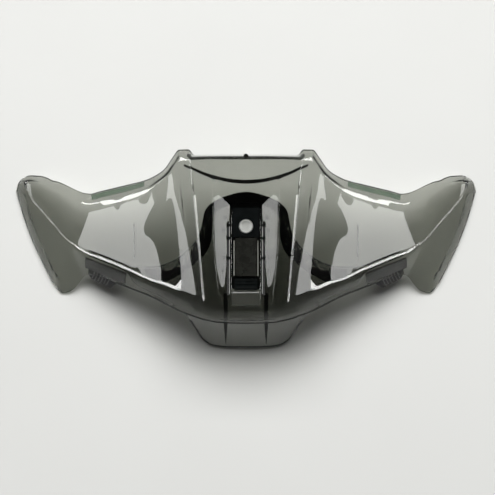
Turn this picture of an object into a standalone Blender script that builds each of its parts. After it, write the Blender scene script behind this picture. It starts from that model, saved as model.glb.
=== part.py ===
"""A smoked wing-shaped wind screen with a central slide latch: metres, +Z up, open side down.

Two see-through mouldings, an outer shell and an inner panel, are held apart by small posts. A
slide latch runs in a slot in the shell's raised centre. Lengths in the tables are millimetres.
"""

import math

import bmesh
import bpy
from mathutils import Vector
from mathutils.bvhtree import BVHTree

MM = 0.001
GAP = 0.3  # clearance between neighbouring pieces

# Puts the lowest rim on the ground and the middle of the whole over the origin.
PLACE = Vector((0, 0.15, 1.336))

SHELL_WALL = 2.2
PANEL_WALL = 2.0
FILLET_STEPS = 2
FILLET_REACH = 0.45  # the most of a straight side that one rounding may take

# Half of the outer shell, from the centre line out to the tip. Each station is a cross-section:
# rim edge, foot of the rim, two points of the face, ridge, foot of the front wall, lip edge.
SHELL = [
    [
        (0, 54.8, 43), (0, 53.2, 50.5), (0, 28.5, 58.75), (0, -4, 54.95),
        (0, -37.5, 51), (0, -43, 45.4), (0, -44.4, 42.4),
    ],
    [
        (8.3, 54.8, 43), (8.3, 53.2, 50.5), (8.3, 28.5, 58.75), (8.3, -4, 54.95),
        (8.3, -37.5, 51), (8.3, -42.9, 45.4), (8.3, -44.3, 42.4),
    ],
    [
        (10, 54.8, 43), (10, 53.2, 50.5), (9.2, 29.4, 58.86), (11, -4, 54.95),
        (11, -37.4, 51), (10, -42.8, 45.4), (10, -44.2, 42.4),
    ],
    [
        (19.6, 54.7, 43), (19.3, 53.1, 50.5), (17.8, 38, 60.45), (17.2, -4, 55.35),
        (14.6, -36.4, 51.1), (15.6, -42.3, 45.2), (15.6, -43.9, 42.2),
    ],
    [
        (21.4, 54.7, 43), (21, 53.1, 50.4), (19.6, 38, 60.35), (18.6, -4, 55.3),
        (16.4, -35.8, 51.05), (17.6, -42, 45.1), (17.8, -43.7, 42.1),
    ],
    [
        (30.4, 54.6, 42.8), (32.2, 52.6, 49.8), (30.7, 34, 57.95), (27.1, -3, 54.35),
        (24.3, -33, 51), (26.4, -39.4, 44.7), (26.4, -41.8, 41.2),
    ],
    [
        (33.9, 58, 43.6), (35.4, 52.2, 48.4), (34.4, 31, 54.6), (29.9, -3, 52.25),
        (26.4, -32.2, 49.6), (31, -37.8, 43.2), (31, -40.2, 40),
    ],
    [
        (39.2, 57.9, 42.4), (39.4, 50.8, 46.5), (38.2, 29, 51.45), (32.9, -3, 50.1),
        (28.8, -31.4, 48.1), (34, -36.7, 41), (34.4, -39, 38),
    ],
    [
        (43.2, 53.4, 39.6), (42.6, 46.6, 44.9), (41.4, 26, 49), (38.6, -3, 46.55),
        (37.6, -28, 43.4), (39.6, -34.4, 37), (39.9, -36.9, 34.3),
    ],
    [
        (48.2, 46.4, 37.2), (46.8, 41.6, 43.3), (46.6, 23, 46), (45, -3, 43.2),
        (44, -25.6, 40.5), (45.8, -31.6, 33.9), (46, -33.9, 31.5),
    ],
    [
        (53, 43, 35), (53.4, 36.2, 41.2), (53.2, 19, 42.15), (51, -3.6, 40.33),
        (50, -22.9, 38.2), (53, -28, 31.2), (53.2, -30.2, 28.8),
    ],
    [
        (60, 39.9, 32.4), (60.5, 31, 39.2), (60.4, 15.6, 38.4), (60.2, -3.2, 36.6),
        (60, -19.4, 35.06), (60.4, -24.9, 28.9), (60.5, -27, 26.8),
    ],
    [
        (67.2, 38.1, 29.6), (68, 28.2, 36.54), (67.4, 13.4, 35.31), (66.8, -2.4, 33.98),
        (66, -16.6, 32.88), (67, -22.6, 26.2), (67, -24.6, 24.2),
    ],
    [
        (77, 35.8, 25.6), (78.8, 25.6, 31.86), (78.4, 12.4, 30.7), (77.8, -0.8, 29.63),
        (77, -12, 28.83), (77, -18.7, 22), (77, -20.7, 20),
    ],
    [
        (86.4, 33.6, 22.4), (86, 23.7, 28.71), (86.4, 12, 27.38), (86.8, 1.2, 26.14),
        (87, -8.1, 25.12), (87, -14.6, 18.2), (87.2, -17.1, 16.2),
    ],
    [
        (91.8, 32.2, 20.6), (90.4, 22.6, 26.8), (92.2, 12.2, 25.02), (94.4, 3.2, 23.22),
        (95.6, -4.8, 21.93), (94.8, -11.7, 14.8), (93.8, -15.9, 12.4),
    ],
    [
        (95.4, 32.5, 19.2), (94.2, 21.6, 25.14), (97.6, 12.2, 22.81), (101.2, 5.6, 20.67),
        (103.2, 1.2, 19.41), (99.6, -12.2, 11.4), (96.6, -17.4, 8.8),
    ],
    [
        (100.2, 34.1, 17.2), (99.4, 22, 22.55), (101.4, 14.4, 21.09), (104, 8, 19.41),
        (105.6, 3.6, 18.34), (104.6, -13.8, 9.4), (99.6, -21, 5.2),
    ],
    [
        (106, 37, 14.2), (105, 24.6, 19.9), (106, 18, 19.01), (107.6, 11.6, 17.82),
        (108.8, 6.8, 16.94), (108.6, -16, 7.2), (104.2, -25.6, 1.8),
    ],
    [
        (112, 39.6, 11.4), (110.2, 28.8, 17.56), (110.6, 22.8, 17), (111.4, 16.2, 16.2),
        (112.2, 10.8, 15.48), (112.4, -17, 6), (109.4, -27, 0),
    ],
    [
        (115, 40.2, 10.4), (113.2, 31.3, 16.21), (113.2, 25.2, 15.84), (113.6, 19, 15.27),
        (114, 13.4, 14.73), (115.4, -13.4, 5.7), (114.8, -21.6, 0),
    ],
    [
        (118, 41.7, 9.2), (116.2, 33.8, 14.86), (116, 27.8, 14.6), (115.9, 21.4, 14.26),
        (116, 15.6, 13.86), (118, -8, 5.6), (119, -13.8, 0),
    ],
    [
        (122.6, 43, 7), (122, 37.1, 12.15), (121.6, 31.6, 12.02), (121, 26, 11.99),
        (120.4, 20.6, 11.96), (123.4, 4.4, 5.6), (126.8, 2.4, 0),
    ],
    [
        (128.4, 43.3, 4.2), (128.2, 38.6, 9.4), (127.9, 35.4, 9.2), (127.5, 32, 9.2),
        (127, 28.8, 9.3), (129.4, 19.6, 5.8), (132.6, 18, 0),
    ],
    [
        (131.8, 42.3, 2.6), (131.6, 38.3, 8), (131.5, 37, 7.9), (131.3, 35.8, 7.9),
        (131.1, 34.6, 7.8), (132.2, 31.2, 6.4), (136.4, 31, 0),
    ],
    [
        (133.6, 41.2, 1.6), (134.8, 40.2, 1), (135.5, 39.2, 0.6), (136.1, 38, 0.3),
        (136.5, 36.7, 0.1), (136.8, 35.3, 0), (137.1, 33.8, 0),
    ],
]
RIM_SHOULDER = 0.44  # where the rim's rounded top lies, as a share of the rim's width
RIM_RISE = -1.6
RIM_ROUND = 1.2
CREASE_ROUND = 1.0
LATCH_TOP_ROUND = 4.4
FACE_ROUND = 14.0
RIDGE_ROUND = 4.2
CENTRE_RIDGE_ROUND = 3.5
LIP_ROUND = 1.6

# Half of the inner panel: upper edge, belly, knee, lower edge of the tongue or wing.
PANEL = [
    [(0, 32.8, 46), (0, 2, 45.4), (0, -37, 36), (0, -59.7, 0.3)],
    [(9.2, 31.4, 45.9), (9.2, 2, 45.2), (10, -37, 35.8), (11, -59.6, 0.3)],
    [(17.8, 28.1, 45.5), (18, 1, 44.6), (18.5, -36.6, 35), (19.4, -58.6, 0.6)],
    [(24.2, 21.8, 44.6), (24.2, -2, 43.2), (24.6, -35.8, 33.6), (25.4, -55, 3.2)],
    [(26.2, 12.2, 44), (28, -7, 41.6), (29.5, -34.6, 32), (29.8, -48.4, 10.5)],
    [(29.2, 4.2, 43), (31.5, -11, 40), (33.5, -33, 30.4), (33.8, -42.6, 18)],
    [(37, -3.6, 40), (38.5, -15, 37.4), (38.4, -30.4, 28.8), (38.4, -36.6, 22.5)],
    [(46.3, -9, 36), (46.5, -17.5, 34), (46, -27.4, 27), (46, -30.8, 23.4)],
    [(56, -11.4, 32.4), (56, -17, 30.6), (56, -23.2, 25.6), (56, -25.8, 22.4)],
    [(65, -11.3, 29.4), (65, -14.5, 28), (65, -18.6, 24.2), (65, -21, 20.8)],
    [(70.6, -9.9, 27.8), (70.6, -11.4, 27.2), (70.6, -12.9, 26.2), (70.6, -14.4, 25)],
    [(77, -7.5, 25.6), (77, -8.8, 25), (77, -10, 24.4), (77, -11.2, 23.6)],
    [(93, -1.4, 19.8), (93, -2.5, 19.5), (93, -3.6, 19.1), (93, -4.7, 18.6)],
]
BELLY_ROUND = 10.0
KNEE_ROUND = 5.0

# Half of the foam gasket, outer and inner edge.
GASKET = [
    [(0, 32.2), (0, 25)],
    [(9, 30.8), (8.6, 25)],
    [(17.4, 27.5), (15.6, 22.6)],
    [(23.4, 21.6), (19.2, 17.5)],
    [(25.6, 12), (19.6, 9)],
    [(28.8, 3.4), (21.6, 0.4)],
    [(36.6, -4.5), (28.2, -8)],
    [(46, -9.8), (38.4, -15.2)],
    [(54, -12.1), (48.2, -19.6)],
    [(60, -12.2), (56.4, -18)],
]
GASKET_THICK = 3.2
GASKET_DROP = 2.9  # below the panel's outer face, measured upright

SEAL_ARC = [(0, 38.6), (8, 39.1), (16, 40.4), (24, 43), (31.4, 46.4), (36, 48.6)]
SEAL_WIDTH = 2.0
SEAL_DEPTH = 7.0
SEAL_DROP = 3.4  # below the shell's outer face, measured upright

# The latch runs on a flat stretch of the shell, sloping down towards the front.
CHANNEL_SLOPE = 0.117
CHANNEL_Z = 55.42
SLOT_HALF = 8.3
SLOT_TOP = 24.0
SLOT_END = -34.0
PLATE = (-7.9, 7.9, 6.2, 23.4, -2.4, -0.6)  # x, y and height ranges
SHUTTER = (-6.4, 6.4, -16.8, 5.8, -2.4, -1.2)
CARRIAGE_FLOOR = (-3.7, -2.7)
CARRIAGE_HALF = 7.6
CARRIAGE_SIDE = 0.7
CARRIAGE_SIDE_TOP = -0.8
CARRIAGE_RANGE = (-25.5, 4.6)
END_BAR = (-7.6, 7.6, -26.4, -25.8, -3.7, -0.2)
THUMB_HALF = 6.6
THUMB_PROFILE = [  # Y and height, over three ridges
    (-18, -2.4), (-18, 1.2), (-18.7, 1.7), (-19.4, 1.2), (-20, 1.2), (-20.7, 1.9), (-21.4, 1.3),
    (-22, 1.3), (-22.7, 2.1), (-23.4, 1.6), (-24.3, 1.4), (-24.7, 0.6), (-24.7, -2.4),
]
TRAY_HALF = 9.4
TRAY_WALL = 1.1
TRAY_RANGE = (-24.8, 25.6)
TRAY_FLOOR = (-8.2, -7.0)
TRAY_TOP = -2.7
BUTTON_Y = 12.6
BUTTON_RADIUS = 4.0
BUTTON_TOP = 0.2
BUTTON_FOOT = -3.4
BUTTON_HOLE = 4.3
BUTTON_EDGE = 0.45
BUTTON_FLANGE = 4.9
CUTTER_HEIGHTS = (3, -6)
SPRING_RADIUS = 2.5
SPRING_WIRE = 0.3
SPRING_TURNS = 3
SPRING_STEPS = 14  # to a turn
SPRING_SIDES = 6
DETENT_X = (3.4, 6.0)
DETENT_Y = (-15, -3)
DETENT_THICK = 0.3
DETENT_CLEAR = 0.65
DETENT_STEPS = 8
RAIL_X = (9.2, 11.2)
RAIL_Y = (-27.6, 15.6)
RAIL_HEIGHT = (0.5, 1.5)
RIB_X = 12.0
RIB_HALF = 1.2
RIB_Y = [-26.5, -29.5, -32, -34.5, -37, -39.5, -42, -46, -50, -56]
RIB_TAPER = (-43.5, -57.5)  # where the rib starts to narrow, and where it would end in a point
RIB_HEIGHTS = (0.6, 2.6)
POSTS = [(12.4, 18), (13.2, 10.6), (13.6, -5.7), (13.8, -13)]
POST_RADIUS = 1.1
POST_SIDES = 10
POST_CLEAR = 0.6

TAPE_X = (58.5, 92.0)
TAPE_EDGES = (0.16, 0.72)  # shares of the way in from the rim's edge
TAPE_HEIGHTS = (0.35, 0.75)
PAD_OUTLINE = [
    (93.2, -10), (93.2, -16.3), (92.1, -18.2), (81.8, -23.3), (80.3, -23.3), (76.2, -20.6), (76.2, -16),
]
PAD_Z = (4.6, 9.8)
GROOVES = 3
GROOVE_DEPTH = 0.7
GROOVE_HALF = 0.6
BLOCK_X = [71, 75, 79, 83, 87, 91, 95]
BLOCK_UPPER = (-15.4, 0.4)  # Y at the inner end, and its rise per millimetre outwards
BLOCK_LOWER = (-20.2, 0.38)
BLOCK_FLOOR = 10.2
BLOCK_DROP = 5.2
BLOCK_STEPS = 3
PEG_RADIUS = 1.5
PEG_Y = 53.9
PEG_PROFILE = [(1.2, 52.2), (PEG_RADIUS, 51.95)]  # radius and Z
# Y and Z of the underside, which follows the shell's rear edge and reaches down behind it.
PEG_FOOT = [
    (52.0, 51.2), (52.85, 50.95), (53.35, 50.75), (53.9, 50.15),
    (54.5, 47.95), (55.0, 46.5), (56.0, 46.5),
]
PEG_SIDES = 16
ROUND_SIDES = 32
COLUMN_STEPS = 2  # from one station to the next


def clear_scene():
    for thing in list(bpy.data.objects):
        bpy.data.objects.remove(thing)


def principled(name, colour, roughness, metallic=0.0, alpha=1.0):
    material = bpy.data.materials.new(name)
    material.use_nodes = True
    shader = material.node_tree.nodes["Principled BSDF"]
    shader.inputs["Base Color"].default_value = (*colour, 1)
    shader.inputs["Roughness"].default_value = roughness
    shader.inputs["Metallic"].default_value = metallic
    shader.inputs["Alpha"].default_value = alpha
    return material


def placed(point):
    """A table's point in the part's own frame, in metres."""
    return (Vector(point) + PLACE) * MM


def new_object(name, points, faces, material):
    """An object from points in millimetres, with its faces turned outwards."""
    mesh = bpy.data.meshes.new(name)
    mesh.from_pydata([placed(p) for p in points], [], faces)
    shape = bmesh.new()
    shape.from_mesh(mesh)
    bmesh.ops.recalc_face_normals(shape, faces=shape.faces)
    shape.to_mesh(mesh)
    shape.free()
    mesh.materials.append(material)
    thing = bpy.data.objects.new(name, mesh)
    bpy.context.collection.objects.link(thing)
    return thing


def rounded_line(corners, lengths):
    """Points along a bent line whose inner corners are rounded by parabolas."""
    points = [corners[0]]
    for before, corner, after, length in zip(corners, corners[1:], corners[2:], lengths):
        back = min(length, FILLET_REACH * (corner - before).length)
        forward = min(length, FILLET_REACH * (after - corner).length)
        start = corner + (before - corner).normalized() * back
        end = corner + (after - corner).normalized() * forward
        for i in range(FILLET_STEPS + 1):
            t = i / FILLET_STEPS
            points.append(start.lerp(corner, t).lerp(corner.lerp(end, t), t))
    points.append(corners[-1])
    return points


def slope_at(before, here, after):
    """The slope of a curve through three values that never overshoots them."""
    left = here - before
    right = after - here
    if left * right <= 0:
        return 0.0
    return 2 * left * right / (left + right)


def blend_value(v0, v1, v2, v3, t):
    """A smooth value between v1 and v2, with v0 and v3 their neighbours."""
    m1 = slope_at(v0, v1, v2)
    m2 = slope_at(v1, v2, v3)
    a = 2 * t**3 - 3 * t**2 + 1
    b = t**3 - 2 * t**2 + t
    c = -2 * t**3 + 3 * t**2
    d = t**3 - t**2
    return a * v1 + b * m1 + c * v2 + d * m2


def mirrored(stations):
    """Both halves of a symmetric table, from left to right."""
    left = [[(-p[0], *p[1:]) for p in station] for station in stations[:0:-1]]
    return left + stations


def columns_of(stations, steps):
    """Cross-sections at and between the stations, as lists of vectors."""
    last = len(stations) - 1
    columns = []
    for i in range(last):
        around = [stations[max(i - 1, 0)], stations[i], stations[i + 1], stations[min(i + 2, last)]]
        for step in range(steps):
            t = step / steps
            column = []
            for corner in zip(*around):
                values = [blend_value(*axis, t) for axis in zip(*corner)]
                column.append(Vector(values))
            columns.append(column)
    columns.append([Vector(p) for p in stations[last]])
    return columns


def with_rim(column):
    """The cross-section with its rim's rounded top added."""
    edge = column[0]
    foot = column[1]
    top = foot.lerp(edge, RIM_SHOULDER)
    top.z = foot.z + RIM_RISE * min(1.0, (edge - foot).length / 12)
    return [edge, top, *column[1:]]


def shell_roundings(column):
    """How far each of a cross-section's corners is rounded."""
    out = abs(column[5].x)
    centre = max(0.0, 1 - out / 45)
    ridge = RIDGE_ROUND + (CENTRE_RIDGE_ROUND - RIDGE_ROUND) * centre
    top = LATCH_TOP_ROUND if out < 30 else FACE_ROUND
    return [RIM_ROUND, CREASE_ROUND, top, FACE_ROUND, ridge, LIP_ROUND]


def sheet(columns, keep=None):
    """The points and faces of an open sheet through equal columns of points."""
    rows = len(columns[0])
    points = [p for column in columns for p in column]
    faces = []
    for i in range(len(columns) - 1):
        for j in range(rows - 1):
            if keep is None or keep(columns, i, j):
                a = i * rows + j
                faces.append((a, a + 1, a + rows + 1, a + rows))
    return points, faces


def outside_slot(columns, i, j):
    """False for the faces that the latch's slot takes away."""
    corners = [columns[i][j], columns[i][j + 1], columns[i + 1][j], columns[i + 1][j + 1]]
    middle = sum(corners, Vector()) / len(corners)
    across = abs(middle.x) < SLOT_HALF
    return not (across and SLOT_END < middle.y < SLOT_TOP)


def thick_sheet(name, points, faces, wall, material):
    """A moulded sheet, thickened inwards from its outer face."""
    mesh = bpy.data.meshes.new(name)
    mesh.from_pydata([placed(p) for p in points], [], faces)
    shape = bmesh.new()
    shape.from_mesh(mesh)
    loose = [v for v in shape.verts if not v.link_faces]
    bmesh.ops.delete(shape, geom=loose, context="VERTS")
    shape.to_mesh(mesh)
    shape.free()
    if sum(face.normal.z * face.area for face in mesh.polygons) < 0:
        mesh.flip_normals()
    mesh.materials.append(material)
    thing = bpy.data.objects.new(name, mesh)
    bpy.context.collection.objects.link(thing)
    thickness = thing.modifiers.new("wall", "SOLIDIFY")
    thickness.thickness = wall * MM
    thickness.offset = -1
    thickness.use_even_offset = True
    thickness.thickness_clamp = 0.0
    mesh.shade_smooth()
    mesh.set_sharp_from_angle(angle=math.radians(40))
    return thing


def surface_tree(points, faces):
    return BVHTree.FromPolygons([Vector(p) for p in points], faces)


def height_on(tree, x, y):
    """The height of a moulding's outer face above a point of the ground plane."""
    hit = tree.ray_cast(Vector((x, y, 200)), Vector((0, 0, -1)))
    return hit[0].z


def prism(name, top, bottom, material):
    """A solid between two equal grids of points, the upper and the lower one."""
    rows = len(top[0])
    count = len(top) * rows
    points = [p for line in top for p in line] + [p for line in bottom for p in line]
    faces = []
    for i in range(len(top) - 1):
        for j in range(rows - 1):
            a = i * rows + j
            quad = (a, a + 1, a + rows + 1, a + rows)
            faces.append(quad)
            faces.append(tuple(k + count for k in reversed(quad)))
    border = [i * rows for i in range(len(top))]
    border += [(len(top) - 1) * rows + j for j in range(1, rows)]
    border += [i * rows + rows - 1 for i in range(len(top) - 2, -1, -1)]
    border += [j for j in range(rows - 2, 0, -1)]
    for a, b in zip(border, border[1:] + border[:1]):
        faces.append((a, b, b + count, a + count))
    return new_object(name, points, faces, material)


def draped(name, lines, tree, above, below, material):
    """A strip that follows a moulding, between two heights from its outer face."""
    top = []
    bottom = []
    for line in lines:
        heights = [height_on(tree, x, y) for x, y in line]
        top.append([(x, y, z + above) for (x, y), z in zip(line, heights)])
        bottom.append([(x, y, z + below) for (x, y), z in zip(line, heights)])
    return prism(name, top, bottom, material)


def channel_point(x, y, height):
    """A point on the latch's sloping plane, a height above it."""
    normal = Vector((0, -CHANNEL_SLOPE, 1)).normalized()
    return Vector((x, y, CHANNEL_Z + CHANNEL_SLOPE * y)) + normal * height


def channel_solid(name, outline, x0, x1, material):
    """A bar across the latch: a side outline of (y, height) points, from x0 to x1."""
    points = [channel_point(x, y, h) for x in (x0, x1) for y, h in outline]
    n = len(outline)
    faces = [tuple(range(n)), tuple(range(2 * n - 1, n - 1, -1))]
    for i in range(n):
        j = (i + 1) % n
        faces.append((i, j, n + j, n + i))
    return new_object(name, points, faces, material)


def channel_box(name, box, material):
    x0, x1, y0, y1, h0, h1 = box
    return channel_solid(name, [(y0, h0), (y1, h0), (y1, h1), (y0, h1)], x0, x1, material)


def channel_tub(name, section, y0, y1, material):
    """A gutter along the latch: a cross outline of (x, height) points, from y0 to y1."""
    points = [channel_point(x, y, h) for y in (y0, y1) for x, h in section]
    n = len(section)
    faces = [tuple(range(n)), tuple(range(2 * n - 1, n - 1, -1))]
    for i in range(n):
        j = (i + 1) % n
        faces.append((i, j, n + j, n + i))
    return new_object(name, points, faces, material)


def ring_faces(rings, sides):
    """The faces of a stack of equal rings of points, closed at both ends."""
    last = (rings - 1) * sides
    faces = [tuple(range(sides)), tuple(range(last, last + sides))]
    for ring in range(rings - 1):
        for k in range(sides):
            a = ring * sides + k
            b = ring * sides + (k + 1) % sides
            faces.append((a, b, b + sides, a + sides))
    return faces


def turned(name, profile, x, y, sides, material):
    """A round piece on the latch's plane, from (radius, height) points, top to bottom."""
    normal = Vector((0, -CHANNEL_SLOPE, 1)).normalized()
    across = Vector((1, 0, 0))
    along = normal.cross(across)
    points = []
    for radius, height in profile:
        centre = channel_point(x, y, height)
        for k in range(sides):
            angle = math.tau * k / sides
            points.append(centre + (across * math.cos(angle) + along * math.sin(angle)) * radius)
    return new_object(name, points, ring_faces(len(profile), sides), material)


def soften(thing, width):
    """A small rounding along a piece's edges."""
    bevel = thing.modifiers.new("edges", "BEVEL")
    bevel.width = width * MM
    bevel.segments = 1
    bevel.limit_method = "ANGLE"
    bevel.angle_limit = math.radians(40)


def make_shell(material):
    columns = [with_rim(column) for column in columns_of(mirrored(SHELL), COLUMN_STEPS)]
    lines = [rounded_line(column, shell_roundings(column)) for column in columns]
    points, faces = sheet(lines, outside_slot)
    thick_sheet("outer_shell", points, faces, SHELL_WALL, material)
    whole_points, whole_faces = sheet(lines)
    return surface_tree(whole_points, whole_faces), columns


def make_panel(material):
    columns = columns_of(mirrored(PANEL), COLUMN_STEPS)
    lines = [rounded_line(column, [BELLY_ROUND, KNEE_ROUND]) for column in columns]
    points, faces = sheet(lines)
    thick_sheet("inner_panel", points, faces, PANEL_WALL, material)
    return surface_tree(points, faces)


def make_gasket(tree, material):
    stations = mirrored([[(*p, 0) for p in pair] for pair in GASKET])
    lines = []
    for outer, inner in columns_of(stations, COLUMN_STEPS):
        middle = outer.lerp(inner, 0.5)
        lines.append([outer.to_2d(), middle.to_2d(), inner.to_2d()])
    top = -GASKET_DROP
    draped("foam_gasket", lines, tree, top, top - GASKET_THICK, material)


def make_top_seal(tree, material):
    stations = mirrored([[(*p, 0)] for p in SEAL_ARC])
    centres = [column[0].to_2d() for column in columns_of(stations, COLUMN_STEPS)]
    lines = []
    for i, centre in enumerate(centres):
        ahead = centres[min(i + 1, len(centres) - 1)]
        behind = centres[max(i - 1, 0)]
        side = (ahead - behind).normalized().orthogonal() * SEAL_WIDTH / 2
        lines.append([centre + side, centre - side])
    top = -SEAL_DROP
    draped("top_seal", lines, tree, top, top - SEAL_DEPTH, material)


def make_latch_fixed(tray_colour, plate_colour, rail_colour):
    inner = TRAY_HALF - TRAY_WALL
    section = [
        (-TRAY_HALF, TRAY_TOP), (-TRAY_HALF, TRAY_FLOOR[0]),
        (TRAY_HALF, TRAY_FLOOR[0]), (TRAY_HALF, TRAY_TOP),
        (inner, TRAY_TOP), (inner, TRAY_FLOOR[1]),
        (-inner, TRAY_FLOOR[1]), (-inner, TRAY_TOP),
    ]
    channel_tub("slide_tray", section, *TRAY_RANGE, tray_colour)
    plate = channel_box("latch_plate", PLATE, plate_colour)
    soften(plate, 0.3)
    hole = [(BUTTON_HOLE, height) for height in CUTTER_HEIGHTS]
    cutter = turned("button_hole_cutter", hole, 0, BUTTON_Y, ROUND_SIDES, plate_colour)
    cutter.hide_render = True
    cutter.display_type = "WIRE"
    cut = plate.modifiers.new("button_hole", "BOOLEAN")
    cut.operation = "DIFFERENCE"
    cut.object = cutter
    for side, sign in (("left", -1), ("right", 1)):
        x0, x1 = sorted((sign * RAIL_X[0], sign * RAIL_X[1]))
        rail = channel_box(f"guide_rail_{side}", (x0, x1, *RAIL_Y, *RAIL_HEIGHT), rail_colour)
        soften(rail, 0.3)


def make_slide(carriage_colour, panel_colour, thumb_colour):
    pivot = bpy.data.objects.new("slide_axis", None)
    pivot.location = placed(channel_point(0, 0, 0))
    bpy.context.collection.objects.link(pivot)
    low, high = CARRIAGE_FLOOR
    inner = CARRIAGE_HALF - CARRIAGE_SIDE
    side_top = CARRIAGE_SIDE_TOP
    section = [
        (-CARRIAGE_HALF, side_top), (-CARRIAGE_HALF, low),
        (CARRIAGE_HALF, low), (CARRIAGE_HALF, side_top),
        (inner, side_top), (inner, high), (-inner, high), (-inner, side_top),
    ]
    pieces = [channel_tub("slide_carriage", section, *CARRIAGE_RANGE, carriage_colour)]
    shutter = channel_box("shutter_panel", SHUTTER, panel_colour)
    soften(shutter, 0.25)
    pieces.append(shutter)
    thumb = channel_solid("thumb_block", THUMB_PROFILE, -THUMB_HALF, THUMB_HALF, thumb_colour)
    pieces.append(thumb)
    pieces.append(channel_box("carriage_end_bar", END_BAR, carriage_colour))
    bpy.context.view_layer.update()
    for piece in pieces:
        piece.parent = pivot
        piece.matrix_parent_inverse = pivot.matrix_world.inverted()


def make_button(button_colour, steel):
    pivot = bpy.data.objects.new("button_axis", None)
    pivot.location = placed(channel_point(0, BUTTON_Y, 0))
    bpy.context.collection.objects.link(pivot)
    bpy.context.view_layer.update()
    shoulder = PLATE[4] - GAP
    profile = [
        (BUTTON_RADIUS - BUTTON_EDGE, BUTTON_TOP), (BUTTON_RADIUS, BUTTON_TOP - BUTTON_EDGE),
        (BUTTON_RADIUS, shoulder), (BUTTON_FLANGE, shoulder), (BUTTON_FLANGE, BUTTON_FOOT),
    ]
    button = turned("push_button", profile, 0, BUTTON_Y, ROUND_SIDES, button_colour)
    button.parent = pivot
    button.matrix_parent_inverse = pivot.matrix_world.inverted()
    make_coil(BUTTON_FOOT - GAP - SPRING_WIRE, TRAY_FLOOR[1] + GAP + SPRING_WIRE, steel)


def make_coil(top, foot, material):
    """The button's spring, a round wire wound down from the button to the tray."""
    normal = Vector((0, -CHANNEL_SLOPE, 1)).normalized()
    across = Vector((1, 0, 0))
    along = normal.cross(across)
    sides = SPRING_SIDES
    count = SPRING_STEPS * SPRING_TURNS
    points = []
    for i in range(count + 1):
        angle = math.tau * i / SPRING_STEPS
        out = across * math.cos(angle) + along * math.sin(angle)
        centre = channel_point(0, BUTTON_Y, top + (foot - top) * i / count)
        for k in range(sides):
            turn = math.tau * k / sides
            reach = SPRING_RADIUS + SPRING_WIRE * math.cos(turn)
            points.append(centre + out * reach + normal * SPRING_WIRE * math.sin(turn))
    new_object("button_spring", points, ring_faces(count + 1, sides), material)


def make_detents(material):
    """Two arched leaf springs on the tray's floor, under the carriage."""
    foot = TRAY_FLOOR[1] + GAP + DETENT_THICK
    rise = CARRIAGE_FLOOR[0] - DETENT_CLEAR - foot
    start, end = DETENT_Y
    for side, sign in (("left", -1), ("right", 1)):
        upper = []
        for i in range(DETENT_STEPS + 1):
            t = i / DETENT_STEPS
            upper.append((start + (end - start) * t, foot + rise * math.sin(math.pi * t)))
        lower = [(y, h - DETENT_THICK) for y, h in reversed(upper)]
        x0, x1 = sorted((sign * DETENT_X[0], sign * DETENT_X[1]))
        channel_solid(f"detent_spring_{side}", upper + lower, x0, x1, material)


def make_ribs(tree, material):
    for side, sign in (("left", -1), ("right", 1)):
        lines = []
        for y in RIB_Y:
            half = RIB_HALF * min(1.0, (y - RIB_TAPER[1]) / (RIB_TAPER[0] - RIB_TAPER[1]))
            lines.append([(sign * RIB_X - half, y), (sign * RIB_X + half, y)])
        draped(f"panel_rib_{side}", lines, tree, RIB_HEIGHTS[1], RIB_HEIGHTS[0], material)


def make_posts(shell_tree, panel_tree, material):
    for side, sign in (("left", -1), ("right", 1)):
        for number, (x, y) in enumerate(POSTS, 1):
            top = height_on(shell_tree, x, y) - SHELL_WALL - POST_CLEAR
            foot = height_on(panel_tree, x, y) + POST_CLEAR
            points = []
            for z in (top, foot):
                for k in range(POST_SIDES):
                    angle = math.tau * k / POST_SIDES
                    out = POST_RADIUS * math.cos(angle)
                    points.append((sign * x + out, y + POST_RADIUS * math.sin(angle), z))
            new_object(f"post_{side}_{number}", points, ring_faces(2, POST_SIDES), material)


def make_tapes(columns, tree, material):
    """A thin strip on each upper rim."""
    chosen = [c for c in columns if TAPE_X[0] < c[1].x < TAPE_X[1]]
    for side, sign in (("left", -1), ("right", 1)):
        lines = []
        for column in chosen:
            outer = column[0].lerp(column[1], TAPE_EDGES[0])
            inner = column[0].lerp(column[1], TAPE_EDGES[1])
            lines.append([(sign * outer.x, outer.y), (sign * inner.x, inner.y)])
        draped(f"edge_tape_{side}", lines, tree, TAPE_HEIGHTS[1], TAPE_HEIGHTS[0], material)


def make_blocks(tree, material):
    """A solid block behind each front wall, from the shell down to the pad."""
    for side, sign in (("left", -1), ("right", 1)):
        top = []
        bottom = []
        for x in BLOCK_X:
            upper = BLOCK_UPPER[0] + (x - BLOCK_X[0]) * BLOCK_UPPER[1]
            lower = BLOCK_LOWER[0] + (x - BLOCK_X[0]) * BLOCK_LOWER[1]
            ys = [upper + (lower - upper) * i / BLOCK_STEPS for i in range(BLOCK_STEPS + 1)]
            top.append([(sign * x, y, height_on(tree, sign * x, y) - BLOCK_DROP) for y in ys])
            bottom.append([(sign * x, y, BLOCK_FLOOR) for y in ys])
        prism(f"wing_block_{side}", top, bottom, material)


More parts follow.
